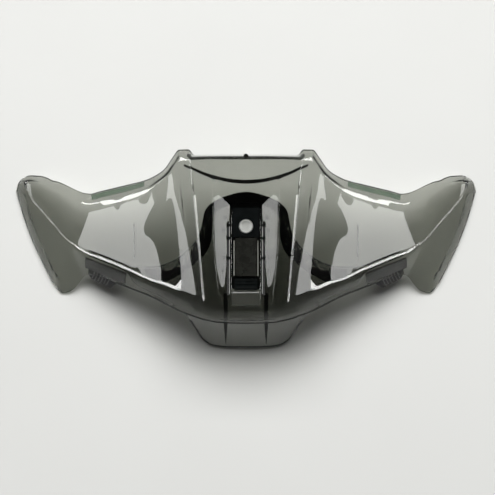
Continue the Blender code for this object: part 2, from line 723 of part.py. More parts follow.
def make_pads(material):
    """A grooved rubber pad under each block, with a flat face to rest or stick it by."""
    start = Vector(PAD_OUTLINE[2])
    end = Vector(PAD_OUTLINE[3])
    along = (end - start).normalized()
    inwards = Vector((-along.y, along.x))
    if inwards.y < 0:
        inwards = -inwards
    front = []
    for i in range(GROOVES):
        centre = start.lerp(end, (i + 0.6) / (GROOVES + 0.2))
        front.append(centre - along * GROOVE_HALF)
        front.append(centre + inwards * GROOVE_DEPTH)
        front.append(centre + along * GROOVE_HALF)
    outline = [Vector(p) for p in PAD_OUTLINE[:3]] + front + [Vector(p) for p in PAD_OUTLINE[3:]]
    n = len(outline)
    for side, sign in (("left", -1), ("right", 1)):
        points = [(sign * p.x, p.y, z) for z in PAD_Z for p in outline]
        faces = [tuple(range(n)), tuple(range(2 * n - 1, n - 1, -1))]
        faces += [(i, (i + 1) % n, (i + 1) % n + n, i + n) for i in range(n)]
        new_object(f"rubber_pad_{side}", points, faces, material)


def foot_height(y):
    """The height of the peg's underside at this Y."""
    for (y0, z0), (y1, z1) in zip(PEG_FOOT, PEG_FOOT[1:]):
        if y <= y1:
            return z0 + (z1 - z0) * (y - y0) / (y1 - y0)
    return PEG_FOOT[-1][1]


def make_peg(material):
    """A round pip that sits over the middle of the shell's rear edge."""
    points = []
    for radius, z in [*PEG_PROFILE, (PEG_RADIUS, None)]:
        for k in range(PEG_SIDES):
            angle = math.tau * k / PEG_SIDES
            y = PEG_Y + radius * math.sin(angle)
            height = foot_height(y) if z is None else z
            points.append((radius * math.cos(angle), y, height))
    rings = len(PEG_PROFILE) + 1
    faces = ring_faces(rings, PEG_SIDES)
    del faces[1]
    base = (rings - 1) * PEG_SIDES
    quarter = PEG_SIDES // 4
    for step in range(PEG_SIDES // 2):
        near = [base + (quarter - step) % PEG_SIDES, base + quarter + step]
        far = [base + (quarter - step - 1) % PEG_SIDES, base + quarter + step + 1]
        corners = [near[0], far[0], far[1], near[1]]
        faces.append(tuple(dict.fromkeys(corners)))
    new_object("locating_peg", points, faces, material)


def main():
    clear_scene()
    smoke = principled("smoked_polycarbonate", (0.09, 0.095, 0.075), 0.06, alpha=0.6)
    smoke_panel = principled("smoked_panel", (0.07, 0.075, 0.06), 0.08, alpha=0.65)
    foam = principled("black_foam", (0.008, 0.009, 0.01), 0.85)
    rubber = principled("black_rubber", (0.012, 0.012, 0.012), 0.6)
    black = principled("black_plastic", (0.006, 0.007, 0.007), 0.35)
    grey = principled("dark_grey_plastic", (0.018, 0.018, 0.015), 0.4)
    clear = principled("clear_plastic", (0.3, 0.31, 0.28), 0.1, alpha=0.6)
    satin = principled("satin_grey_plastic", (0.32, 0.33, 0.3), 0.3)
    steel = principled("spring_steel", (0.5, 0.5, 0.5), 0.3, metallic=1.0)
    tape = principled("green_tint_film", (0.16, 0.2, 0.15), 0.15)

    shell_tree, shell_columns = make_shell(smoke)
    panel_tree = make_panel(smoke_panel)
    make_gasket(panel_tree, foam)
    make_top_seal(shell_tree, rubber)
    make_latch_fixed(black, black, grey)
    make_slide(clear, grey, black)
    make_button(satin, steel)
    make_detents(steel)
    make_ribs(panel_tree, black)
    make_posts(shell_tree, panel_tree, grey)
    make_tapes(shell_columns, shell_tree, tape)
    make_blocks(shell_tree, black)
    make_pads(rubber)
    make_peg(grey)


main()
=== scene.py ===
"""The looks of the smoked wing wind screen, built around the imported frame: metres, +Z up.

The two smoked mouldings are lofted again as fine walls, from half cross-sections close to those
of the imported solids. The latch, pads, ribs and trim get their small details here. Lengths in the
tables and constants are millimetres where nothing else is said.
"""

import math

import bmesh
import bpy
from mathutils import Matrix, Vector
from mathutils.bvhtree import BVHTree


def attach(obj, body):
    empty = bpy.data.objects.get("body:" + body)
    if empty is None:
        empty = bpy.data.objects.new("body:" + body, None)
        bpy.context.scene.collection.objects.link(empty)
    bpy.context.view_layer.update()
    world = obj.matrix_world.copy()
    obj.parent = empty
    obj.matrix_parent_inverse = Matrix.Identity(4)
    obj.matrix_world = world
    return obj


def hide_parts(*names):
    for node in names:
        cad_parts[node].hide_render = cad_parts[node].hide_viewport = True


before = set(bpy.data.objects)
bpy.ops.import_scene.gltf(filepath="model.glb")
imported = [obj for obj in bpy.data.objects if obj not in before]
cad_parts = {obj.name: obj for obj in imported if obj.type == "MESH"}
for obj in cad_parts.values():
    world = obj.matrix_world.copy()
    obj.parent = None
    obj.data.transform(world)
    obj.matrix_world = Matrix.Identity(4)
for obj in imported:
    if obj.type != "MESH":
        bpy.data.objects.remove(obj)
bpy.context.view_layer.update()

MM = 0.001
GAP = 0.3
PLACE = Vector((0, 0.15, 1.336))  # from the tables' origin to the frame's
SIDES = (("left", -1), ("right", 1))
ABOVE_ALL = 200  # a height that is above every piece

# Half of the outer shell, from the centre line out to the tip. Each station is a cross-section:
# rim edge, foot of the rim, two points of the face, ridge, foot of the front wall, lip edge.
SHELL = [
    [
        (0, 54.8, 43), (0, 53.2, 50.5), (0, 28.5, 58.75), (0, -4, 54.95),
        (0, -37.5, 51), (0, -43, 45.4), (0, -44.4, 42.4),
    ],
    [
        (8.3, 54.8, 43), (8.3, 53.2, 50.5), (8.3, 28.5, 58.75), (8.3, -4, 54.95),
        (8.3, -37.5, 51), (8.3, -42.9, 45.4), (8.3, -44.3, 42.4),
    ],
    [
        (10, 54.8, 43), (10, 53.2, 50.5), (9.2, 29.4, 58.86), (11, -4, 54.95),
        (11, -37.4, 51), (10, -42.8, 45.4), (10, -44.2, 42.4),
    ],
    [
        (19.6, 54.7, 43), (19.5, 53.1, 50.5), (19.2, 38, 60.5), (18.5, -4, 55.42),
        (14.6, -36.4, 51.1), (15.6, -42.3, 45.2), (15.6, -43.9, 42.2),
    ],
    [
        (21.4, 54.7, 43), (21, 53.1, 50.4), (20.6, 38, 60.33), (19.8, -4, 55.26),
        (16, -35.9, 50.98), (17.6, -42, 45.1), (17.8, -43.7, 42.1),
    ],
    [
        (30, 54.6, 42.9), (31.6, 52.7, 49.95), (30.1, 34.2, 58.15), (26.5, -3, 54.45),
        (23.7, -33.1, 50.85), (25.8, -39.6, 44.8), (25.8, -42, 41.4),
    ],
    [
        (31, 55, 42.8), (32.8, 52.6, 49.62), (31.3, 33.8, 57.75), (27.7, -3, 54.1),
        (24.9, -32.9, 50.5), (27, -39.2, 44.5), (27, -41.6, 41.1),
    ],
    [
        (33.9, 58, 43.6), (35.4, 52.2, 48.4), (34.4, 31, 54.6), (29.9, -3, 52.25),
        (26.4, -32.2, 49.6), (31, -37.8, 43.2), (31, -40.2, 40),
    ],
    [
        (39.2, 57.9, 42.4), (39.4, 50.8, 46.5), (38.2, 29, 51.45), (32.9, -3, 50.1),
        (28.8, -31.4, 48.1), (34, -36.7, 41), (34.4, -39, 38),
    ],
    [
        (43.2, 53.4, 39.6), (42.6, 46.6, 44.9), (41.4, 26, 49), (38.6, -3, 46.55),
        (37.6, -28, 43.4), (39.6, -34.4, 37), (39.9, -36.9, 34.3),
    ],
    [
        (48.2, 46.4, 37.2), (46.8, 41.6, 43.3), (46.6, 23, 46), (45, -3, 43.2),
        (44, -25.6, 40.5), (45.8, -31.6, 33.9), (46, -33.9, 31.5),
    ],
    [
        (53, 43, 35), (53.4, 36.2, 41.2), (53.2, 19, 42.15), (51, -3.6, 40.33),
        (50, -22.9, 38.2), (53, -28, 31.2), (53.2, -30.2, 28.8),
    ],
    [
        (60, 39.9, 32.4), (60.5, 31, 39.2), (60.4, 15.6, 38.4), (60.2, -3.2, 36.6),
        (60, -19.4, 35.06), (60.4, -24.9, 28.9), (60.5, -27, 26.8),
    ],
    [
        (67.2, 38.1, 29.6), (68, 28.2, 36.54), (67.4, 13.4, 35.31), (66.8, -2.4, 33.98),
        (66, -16.6, 32.88), (67, -22.6, 26.2), (67, -24.6, 24.2),
    ],
    [
        (77, 35.8, 25.6), (78.8, 25.6, 31.86), (78.4, 12.4, 30.7), (77.8, -0.8, 29.63),
        (77, -12, 28.83), (77, -18.7, 22), (77, -20.7, 20),
    ],
    [
        (86.4, 33.6, 22.4), (86, 23.7, 28.71), (86.4, 12, 27.38), (86.8, 1.2, 26.14),
        (87, -8.1, 25.12), (87, -14.6, 18.2), (87.2, -17.1, 16.2),
    ],
    [
        (91.8, 32.2, 20.6), (90.4, 22.6, 26.8), (92.2, 12.2, 25.02), (94.4, 3.2, 23.22),
        (95.6, -4.8, 21.93), (94.8, -11.7, 14.8), (93.8, -15.9, 12.4),
    ],
    [
        (95.4, 32.5, 19.2), (94.2, 21.6, 25.14), (97.6, 12.2, 22.81), (101.2, 5.6, 20.67),
        (103.2, 1.2, 19.41), (99.6, -12.2, 11.4), (96.6, -17.4, 8.8),
    ],
    [
        (100.2, 34.1, 17.2), (99.4, 22, 22.55), (101.4, 14.4, 21.09), (104, 8, 19.41),
        (105.6, 3.6, 18.34), (104.6, -13.8, 9.4), (99.6, -21, 5.2),
    ],
    [
        (106, 37, 14.2), (105, 24.6, 19.9), (106, 18, 19.01), (107.6, 11.6, 17.82),
        (108.8, 6.8, 16.94), (108.6, -16, 7.2), (104.2, -25.6, 1.8),
    ],
    [
        (112, 39.6, 11.4), (110.2, 28.8, 17.56), (110.6, 22.8, 17), (111.4, 16.2, 16.2),
        (112.2, 10.8, 15.48), (112.4, -17, 6), (109.4, -27, 0),
    ],
    [
        (115, 40.2, 10.4), (113.2, 31.3, 16.21), (113.2, 25.2, 15.84), (113.6, 19, 15.27),
        (114, 13.4, 14.73), (115.4, -13.4, 5.7), (114.8, -21.6, 0),
    ],
    [
        (118, 41.7, 9.2), (116.2, 33.8, 14.86), (116, 27.8, 14.6), (115.9, 21.4, 14.26),
        (116, 15.6, 13.86), (118, -8, 5.6), (119, -13.8, 0),
    ],
    [
        (122.6, 43, 7), (122, 37.1, 12.15), (121.6, 31.6, 12.02), (121, 26, 11.99),
        (120.4, 20.6, 11.96), (123.4, 4.4, 5.6), (126.8, 2.4, 0),
    ],
    [
        (128.4, 43.3, 4.2), (128.2, 38.6, 9.4), (127.9, 35.4, 9.2), (127.5, 32, 9.2),
        (127, 28.8, 9.3), (129.4, 19.6, 5.8), (132.6, 18, 0),
    ],
    [
        (131.8, 42.3, 2.6), (131.6, 38.3, 8), (131.5, 37, 7.9), (131.3, 35.8, 7.9),
        (131.1, 34.6, 7.8), (132.2, 31.2, 6.4), (136.4, 31, 0),
    ],
    [
        (133.6, 41.2, 1.6), (134.8, 40.2, 1), (135.5, 39.2, 0.6), (136.1, 38, 0.3),
        (136.5, 36.7, 0.1), (136.8, 35.3, 0), (137.1, 33.8, 0),
    ],
]
SHELL_STEPS = 7  # cross-sections from one station to the next
SHELL_WALL = 2.2
SHELL_RIM = 0.5  # rounding of the wall's edges
RIM_SHOULDER = 0.44  # where the rim's rounded top lies, as a share of the rim's width
RIM_RISE = -1.6
RIM_FULL = 12.0  # the rim's length from which it rises in full
RIDGE = 5  # the ridge's place in a cross-section that has its rim

# How far each corner of a cross-section is rounded.
RIM_ROUND = 1.2
CREASE_ROUND = 1.0
LATCH_TOP_ROUND = 4.4
FACE_ROUND = 14.0
RIDGE_ROUND = 4.2
CENTRE_RIDGE_ROUND = 3.5
TIP_RIDGE_ROUND = 1.2
LIP_ROUND = 1.6
FILLET_STEPS = 6
FILLET_REACH = 0.45  # the most of a straight side that one rounding may take

# Distances from the centre line at which the roundings change.
CENTRE_FADE = 45.0
LATCH_HALF = 30.0
TIP_START = 104.0

SLOT_HALF = 8.3
SLOT_TOP = 24.0
SLOT_END = -34.0

# Half of the inner panel: upper edge, belly, knee, lower edge of the tongue or wing.
PANEL = [
    [(0, 32.8, 46), (0, 2, 45.4), (0, -37, 36), (0, -59.7, 0.3)],
    [(9.2, 31.4, 45.9), (9.2, 2, 45.2), (10, -37, 35.8), (11, -59.6, 0.3)],
    [(17.8, 28.1, 45.5), (18, 1, 44.6), (18.5, -36.6, 35), (19.4, -58.6, 0.6)],
    [(24.2, 21.8, 44.6), (24.2, -2, 43.2), (24.6, -35.8, 33.6), (25.4, -55, 3.2)],
    [(26.2, 12.2, 44), (28, -7, 41.6), (29.5, -34.6, 32), (29.8, -48.4, 10.5)],
    [(29.2, 4.2, 43), (31.5, -11, 40), (33.5, -33, 30.4), (33.8, -42.6, 18)],
    [(37, -3.6, 40), (38.5, -15, 37.4), (38.4, -30.4, 28.8), (38.4, -36.6, 22.5)],
    [(46.3, -9, 36), (46.5, -17.5, 34), (46, -27.4, 27), (46, -30.8, 23.4)],
    [(56, -11.4, 32.4), (56, -17, 30.6), (56, -23.2, 25.6), (56, -25.8, 22.4)],
    [(65, -11.3, 29.4), (65, -14.5, 28), (65, -18.6, 24.2), (65, -21, 20.8)],
    [(70.6, -9.9, 27.8), (70.6, -11.4, 27.2), (70.6, -12.9, 26.2), (70.6, -14.4, 25)],
    [(77, -7.5, 25.6), (77, -8.8, 25), (77, -10, 24.4), (77, -11.2, 23.6)],
    [(93, -1.4, 19.8), (93, -2.5, 19.5), (93, -3.6, 19.1), (93, -4.7, 18.6)],
]
PANEL_STEPS = 8
PANEL_WALL = 2.0
PANEL_RIM = 0.6
BELLY_ROUND = 10.0
KNEE_ROUND = 5.0

RIM_SEGMENTS = 3
RIM_ANGLE = 55.0  # degrees: the least angle of an edge that gets rounded
WALL_SHARP = 50.0  # degrees: the least angle of an edge that is shaded sharp
PIECE_SHARP = 35.0

BEAD_SIDES = 8
LIP_REACH = 78.0
LIP_BEAD = 0.6
LIP_INSET = Vector((0, 0.35, 0.1))
TONGUE_REACH = 33.0
TONGUE_BEAD = 0.85
TONGUE_INSET = Vector((0, 1.1, 0.35))

# Half of the foam gasket, outer and inner edge.
GASKET = [
    [(0, 32.2), (0, 25)],
    [(9, 30.8), (8.6, 25)],
    [(17.4, 27.5), (15.6, 22.6)],
    [(23.4, 21.6), (19.2, 17.5)],
    [(25.6, 12), (19.6, 9)],
    [(28.8, 3.4), (21.6, 0.4)],
    [(36.6, -4.5), (28.2, -8)],
    [(46, -9.8), (38.4, -15.2)],
    [(54, -12.1), (48.2, -19.6)],
    [(60, -12.2), (56.4, -18)],
]
GASKET_STEPS = 6
GASKET_ROWS = 4
GASKET_THICK = 3.2
GASKET_EDGE = 0.5
SLANT = 1.3  # how much thicker a sloping wall measures upright
GASKET_TOP = -PANEL_WALL * SLANT - GAP

SEAL_ARC = [(0, 38.6), (8, 39.1), (16, 40.4), (24, 43), (31.4, 46.4), (36, 48.6)]
SEAL_STEPS = 8
SEAL_WIDTH = 2.0
SEAL_ENDS = 0.6  # the strip's width at its ends, as a share of SEAL_WIDTH
SEAL_SWELL = 0.5  # what is added to that in the middle
SEAL_TOP = -SHELL_WALL - 1.2
SEAL_DEPTH = 7.0
SEAL_EDGE = 0.35

# The latch's sloping plane, and ranges across it, along it and above it.
CHANNEL_SLOPE = 0.117
CHANNEL_Z = 55.42
CHANNEL_NORMAL = Vector((0, -CHANNEL_SLOPE, 1)).normalized()
BAR_EDGE = 0.1
RAIL_LIP_X = (9.45, 9.8)
RAIL_LIP_Y = (-26.6, 15.0)
RAIL_LIP_HEIGHTS = (1.55, 1.85)
RUNNER_X = (6.85, 7.2)
RUNNER_Y = (-16.4, 4.2)
RUNNER_HEIGHTS = (-1.1, -0.85)
RAIL_STOPS = [13.6, 6.0, -5.7]
RAIL_STOP_X = (9.1, 11.5)
RAIL_STOP_HALF = 0.9
RAIL_STOP_HEIGHTS = (1.5, 2.0)

BUTTON_Y = 12.6
BUTTON_SIDES = 64
# Radius and height: a shallow dish, its rolled rim, the barrel and the flange that holds it in.
BUTTON_PROFILE = [
    (0.4, -0.32), (1.6, -0.26), (2.6, -0.1), (3.0, 0.06), (3.25, 0.18), (3.55, 0.2),
    (3.8, 0.08), (3.95, -0.15), (4.0, -0.5), (4.0, -2.7), (4.9, -2.7), (4.9, -3.4),
]

FACE_LINE_X = 66.0
FACE_LINE_Y = (-6.0, 14.0)
FACE_LINE_STEPS = 8
FACE_LINE_HALF = 0.3
FACE_LINE_HEIGHTS = (0.09, 0.02)

RIB_X = 12.0
# Y and half width; the short narrow stretch is the notch.
RIB_LINE = [
    (-26.5, 1.2), (-37.6, 1.2), (-37.9, 0.75), (-38.9, 0.75),
    (-39.2, 1.2), (-44, 1.15), (-50, 0.75), (-57, 0.2),
]
RIB_HEIGHTS = (2.8, 0.6)
RIB_EDGE = 0.15

PAD_EDGE = [(92.4, -17.6), (82.2, -22.6)]
PAD_TOP = 9.8
PAD_RIBS = 6
PAD_RIB_HALF = 0.3
PAD_RIB_LENGTH = 6
PAD_RIB_HEIGHT = 0.28

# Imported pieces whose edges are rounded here, and how far.
SHARP_EDGED = {
    "thumb_block": 0.18, "slide_tray": 0.25, "slide_carriage": 0.15, "carriage_end_bar": 0.15,
    "wing_block_left": 0.5, "wing_block_right": 0.5,
    "rubber_pad_left": 0.35, "rubber_pad_right": 0.35,
    "edge_tape_left": 0.1, "edge_tape_right": 0.1,
}
EDGE_ANGLE = 40.0  # degrees
EDGE_SEGMENTS = 3
NODE_EDGE_SEGMENTS = 2

# Each soft box is where one of the moulding's faces or creases mirrors it to the viewer: angles
# across and along, in degrees from upright, and how bright it is.
SOFT_BOXES = [
    ("wing_face", (-48, -40), (-30, 6), 6.0),
    ("hollow", (-68.5, -59.5), (-36, 31), 5.5),
    ("crease", (-38, -26), (-28, -5), 9.0),
    ("latch_side", (3.5, 9.5), (-18, -9), 5.0),
    ("ridge", (-62, -46), (-43, -26), 16.0),
    ("flange", (-70, -58), (50, 63), 14.0),
]
BOX_HEIGHT = 1.6  # metres
FILL_PLACE = Vector((0.0, 1.45, 2.05))  # metres
FILL_SIZE = (2.3, 1.4)  # metres
FILL_RADIANCE = 13.8

# Height on the unit sky and its colour.
WORLD_STOPS = [
    (0.0, (0.30, 0.302, 0.295)), (0.12, (0.26, 0.262, 0.256)), (0.35, (0.12, 0.12, 0.118)),
    (0.65, (0.04, 0.04, 0.04)), (0.85, (0.015, 0.015, 0.015)),
]

FLOOR_HALF = 6.0  # metres
FLOOR_DROP = 0.0002  # metres
FLOOR_GRAIN = (9.0, 2.0)
FLOOR_TONES = ((0.50, 0.502, 0.487), (0.51, 0.512, 0.497))
FLOOR_ROUGH = 0.9
FLOOR_SPECULAR = 0.1

# The camera, in metres, and its sensor in millimetres.
VIEW_WIDTH = 0.2925  # what the picture's width spans at the object's middle height
CAMERA_PLACE = Vector((0.0009, 0.00045, 3.0))
CAMERA_REACH = 20.0
MIDDLE_HEIGHT = 0.03
SENSOR = 36.0


# ---------------------------------------------------------------- lofting


def rounded_line(corners, lengths):
    """Points along a bent line whose inner corners are rounded by parabolas."""
    points = [corners[0]]
    for before, corner, after, length in zip(corners, corners[1:], corners[2:], lengths):
        back = min(length, FILLET_REACH * (corner - before).length)
        forward = min(length, FILLET_REACH * (after - corner).length)
        start = corner + (before - corner).normalized() * back
        end = corner + (after - corner).normalized() * forward
        for i in range(FILLET_STEPS + 1):
            t = i / FILLET_STEPS
            points.append(start.lerp(corner, t).lerp(corner.lerp(end, t), t))
    points.append(corners[-1])
    return points


def slope_at(before, here, after):
    """The slope of a curve through three values that never overshoots them."""
    left = here - before
    right = after - here
    if left * right <= 0:
        return 0.0
    return 2 * left * right / (left + right)


def blend_value(v0, v1, v2, v3, t):
    """A smooth value between v1 and v2, with v0 and v3 their neighbours."""
    m1 = slope_at(v0, v1, v2)
    m2 = slope_at(v1, v2, v3)
    a = 2 * t**3 - 3 * t**2 + 1
    b = t**3 - 2 * t**2 + t
    c = -2 * t**3 + 3 * t**2
    d = t**3 - t**2
    return a * v1 + b * m1 + c * v2 + d * m2


def mirrored(stations):
    """Both halves of a symmetric table, from left to right."""
    left = [[(-p[0], *p[1:]) for p in station] for station in stations[:0:-1]]
    return left + stations


def columns_of(stations, steps):
    """Cross-sections at and between the stations, as lists of vectors."""
    last = len(stations) - 1
    columns = []
    for i in range(last):
        before = stations[max(i - 1, 0)]
        after = stations[min(i + 2, last)]
        around = [before, stations[i], stations[i + 1], after]
        for step in range(steps):
            t = step / steps
            column = []
            for corner in zip(*around):
                values = [blend_value(*axis, t) for axis in zip(*corner)]
                column.append(Vector(values))
            columns.append(column)
    columns.append([Vector(p) for p in stations[last]])
    return columns


# ---------------------------------------------------------------- materials


SMOKE_IOR = 1.5
SMOKE_FLOW = (14.0, 3.0)  # a texture's scale and detail
SMOKE_FLOW_DARK = 0.97
SMOKE_HAZE = (60.0, 6.0)
SMOKE_ROUGH = (0.0, 0.012)
SMOKE_WAVE = (22.0, 1.0)
SMOKE_BUMP = (0.006, 0.0004)  # strength, and depth in metres
SHADOW_WARMTH = 0.97
# Painted light: the smoke's tint turns paler out towards the wing tips, lifting the tips' shade.
TIP_FADE = (84.0, 104.0)
TIP_PAINTED_PALER = 1.16
TONE_STOPS = (0.3, 0.7)  # where the darker and the lighter tone lie on a noise

# A moulding's textures, as shares of its grain's scale, and their detail.
MOTTLE = (0.12, 5.0)
PATCHES = (0.3, 4.0)
GRAIN = (1.0, 8.0)
PATCH_ROUGH = (0.8, 1.25)
GRAIN_DEPTH = 0.0003  # metres

FOAM_CELLS = 900.0
FOAM_STOPS = [(0.0, (0.003, 0.0035, 0.0045)), (0.6, (0.012, 0.014, 0.017))]
FOAM_ROUGH = (0.75, 0.95)
FOAM_BUMP = (0.5, 0.0004)

FILM_STREAKS = (120.0, 3.0)
FILM_TONES = ((0.05, 0.075, 0.053), (0.085, 0.115, 0.08))
FILM_ROUGH = (0.18, 0.3)
FILM_ALPHA = 0.78
FILM_BUMP = (0.08, 0.0003)


def blank(name):
    """A material with an empty node tree, and its tree."""
    material = bpy.data.materials.new(name)
    material.use_nodes = True
    tree = material.node_tree
    tree.nodes.clear()
    return material, tree


def surface_out(tree, shader):
    """Joins a shader to the material's output, and gives the output."""
    out = tree.nodes.new("ShaderNodeOutputMaterial")
    tree.links.new(shader.outputs[0], out.inputs["Surface"])
    return out


def noise(tree, scale, detail=4.0, kind="ShaderNodeTexNoise"):
    """A texture in object space, as its node."""
    place = tree.nodes.new("ShaderNodeTexCoord")
    texture = tree.nodes.new(kind)
    texture.inputs["Scale"].default_value = scale
    if "Detail" in texture.inputs:
        texture.inputs["Detail"].default_value = detail
    tree.links.new(place.outputs["Object"], texture.inputs["Vector"])
    return texture


def ramp(tree, value, stops):
    """A colour ramp over a value, from (position, colour) stops."""
    node = tree.nodes.new("ShaderNodeValToRGB")
    node.color_ramp.elements[0].position = stops[0][0]
    node.color_ramp.elements[0].color = (*stops[0][1], 1)
    node.color_ramp.elements[1].position = stops[-1][0]
    node.color_ramp.elements[1].color = (*stops[-1][1], 1)
    for position, colour in stops[1:-1]:
        node.color_ramp.elements.new(position).color = (*colour, 1)
    tree.links.new(value, node.inputs[0])
    return node.outputs[0]


def toned(tree, value, low, high):
    """A colour that goes from a darker to a lighter tone over a noise."""
    return ramp(tree, value, list(zip(TONE_STOPS, (low, high))))


def spread(tree, value, low, high):
    """A value from 0 to 1 spread over another range."""
    node = tree.nodes.new("ShaderNodeMapRange")
    node.inputs["To Min"].default_value = low
    node.inputs["To Max"].default_value = high
    tree.links.new(value, node.inputs["Value"])
    return node.outputs[0]


def bumped(tree, height, strength, distance):
    """A normal bent by a height."""
    node = tree.nodes.new("ShaderNodeBump")
    node.inputs["Strength"].default_value = strength
    node.inputs["Distance"].default_value = distance
    tree.links.new(height, node.inputs["Height"])
    return node.outputs[0]


def painted_light_tips(tree, body, tint):
    """The tint fades paler towards the wing tips: painted light that lifts the shade on the tips.
    """
    place = tree.nodes.new("ShaderNodeTexCoord")
    parts = tree.nodes.new("ShaderNodeSeparateXYZ")
    tree.links.new(place.outputs["Object"], parts.inputs[0])
    aside = tree.nodes.new("ShaderNodeMath")
    aside.operation = "ABSOLUTE"
    tree.links.new(parts.outputs["X"], aside.inputs[0])
    fade = tree.nodes.new("ShaderNodeMapRange")
    fade.inputs["From Min"].default_value = TIP_FADE[0] * MM
    fade.inputs["From Max"].default_value = TIP_FADE[1] * MM
    tree.links.new(aside.outputs[0], fade.inputs["Value"])
    mix = tree.nodes.new("ShaderNodeMixRGB")
    tree.links.new(fade.outputs["Result"], mix.inputs[0])
    tree.links.new(body, mix.inputs[1])
    pale = tuple(min(1.0, c * TIP_PAINTED_PALER) for c in tint)
    mix.inputs[2].default_value = (*pale, 1)
    return mix.outputs[0]


def smoked(name, tint, density, volume_colour, shade):
    """Smoked moulded polycarbonate: tinted glass that darkens with the way through it.

    A shadow falls through it in the tone of the shade.
    """
    material, tree = blank(name)
    shader = tree.nodes.new("ShaderNodeBsdfPrincipled")
    shader.inputs["Transmission Weight"].default_value = 1.0
    shader.inputs["IOR"].default_value = SMOKE_IOR
    flow = noise(tree, *SMOKE_FLOW)
    dark = tuple(c * SMOKE_FLOW_DARK for c in tint)
    body = toned(tree, flow.outputs[0], dark, tint)
    tree.links.new(painted_light_tips(tree, body, tint), shader.inputs["Base Color"])
    haze = noise(tree, *SMOKE_HAZE)
    rough = spread(tree, haze.outputs[0], *SMOKE_ROUGH)
    tree.links.new(rough, shader.inputs["Roughness"])
    wave = noise(tree, *SMOKE_WAVE)
    tree.links.new(bumped(tree, wave.outputs[0], *SMOKE_BUMP), shader.inputs["Normal"])
    clear = tree.nodes.new("ShaderNodeBsdfTransparent")
    clear.inputs["Color"].default_value = (shade, shade, shade * SHADOW_WARMTH, 1)
    path = tree.nodes.new("ShaderNodeLightPath")
    mix = tree.nodes.new("ShaderNodeMixShader")
    tree.links.new(path.outputs["Is Shadow Ray"], mix.inputs[0])
    tree.links.new(shader.outputs[0], mix.inputs[1])
    tree.links.new(clear.outputs[0], mix.inputs[2])
    inside = tree.nodes.new("ShaderNodeVolumeAbsorption")
    inside.inputs["Color"].default_value = (*volume_colour, 1)
    inside.inputs["Density"].default_value = density
    out = surface_out(tree, mix)
    tree.links.new(inside.outputs[0], out.inputs["Volume"])
    return material


def moulded(name, low, high, rough, grain, bump, coat=0.0, metallic=0.0, specular=0.5):
    """An opaque moulded or cast surface: mottled colour, uneven gloss and a fine grain."""
    material, tree = blank(name)
    shader = tree.nodes.new("ShaderNodeBsdfPrincipled")
    shader.inputs["Metallic"].default_value = metallic
    shader.inputs["Coat Weight"].default_value = coat
    shader.inputs["Specular IOR Level"].default_value = specular
    mottle = noise(tree, grain * MOTTLE[0], MOTTLE[1])
    tree.links.new(toned(tree, mottle.outputs[0], low, high), shader.inputs["Base Color"])
    patches = noise(tree, grain * PATCHES[0], PATCHES[1])
    shiny, dull = (min(1.0, rough * share) for share in PATCH_ROUGH)
    tree.links.new(spread(tree, patches.outputs[0], shiny, dull), shader.inputs["Roughness"])
    fine = noise(tree, grain * GRAIN[0], GRAIN[1])
    tree.links.new(bumped(tree, fine.outputs[0], bump, GRAIN_DEPTH), shader.inputs["Normal"])
    surface_out(tree, shader)
    return material


def foam_material():
    """Closed-cell foam: a dull black skin pitted with small cells."""
    material, tree = blank("foam_cells")
    shader = tree.nodes.new("ShaderNodeBsdfPrincipled")
    cells = noise(tree, FOAM_CELLS, kind="ShaderNodeTexVoronoi").outputs["Distance"]
    tree.links.new(ramp(tree, cells, FOAM_STOPS), shader.inputs["Base Color"])
    tree.links.new(spread(tree, cells, *FOAM_ROUGH), shader.inputs["Roughness"])
    tree.links.new(bumped(tree, cells, *FOAM_BUMP), shader.inputs["Normal"])
    surface_out(tree, shader)
    return material


def film_material():
    """The green-tinted film on the rims, half see-through, with faint streaks."""
    material, tree = blank("green_film")
    shader = tree.nodes.new("ShaderNodeBsdfPrincipled")
    shader.inputs["Alpha"].default_value = FILM_ALPHA
    streaks = noise(tree, *FILM_STREAKS).outputs[0]
    tree.links.new(toned(tree, streaks, *FILM_TONES), shader.inputs["Base Color"])
    tree.links.new(spread(tree, streaks, *FILM_ROUGH), shader.inputs["Roughness"])
    tree.links.new(bumped(tree, streaks, *FILM_BUMP), shader.inputs["Normal"])
    surface_out(tree, shader)
    return material


# Name, tint, density per metre, the colour that is left inside, and the shadow's tone.
SMOKE = smoked("smoked_shell_clear", (0.865, 0.87, 0.805), 345.0, (0.0, 0.02, 0.0), 0.72)
SMOKE_PANEL = smoked("smoked_panel_clear", (0.84, 0.842, 0.798), 365.0, (0.0, 0.01, 0.0), 0.72)
# The tongue's bead is a rolled edge whose tint is darkened as painted shade, for the dark line
# along the tongue's edge.
SMOKE_BEAD_SHADED = smoked("smoked_bead_painted_shade", (0.45, 0.45, 0.42), 900.0, (0.0, 0.01, 0.0), 0.6)
CLEAR = smoked("clear_moulding", (0.97, 0.98, 0.95), 90.0, (0.1, 0.1, 0.02), 0.95)

# Name, darker and lighter tone, roughness, the grain's scale and its bump.
# Painted shade: a black line along the shell's front lip, standing in for the dark edge that the
# smoked wall shows there.
PAINTED_LIP_SHADE = moulded(
    "painted_lip_shade", (0.010, 0.011, 0.010), (0.02, 0.021, 0.019), 0.5, 400.0, 0.02,
    specular=0.1,
)
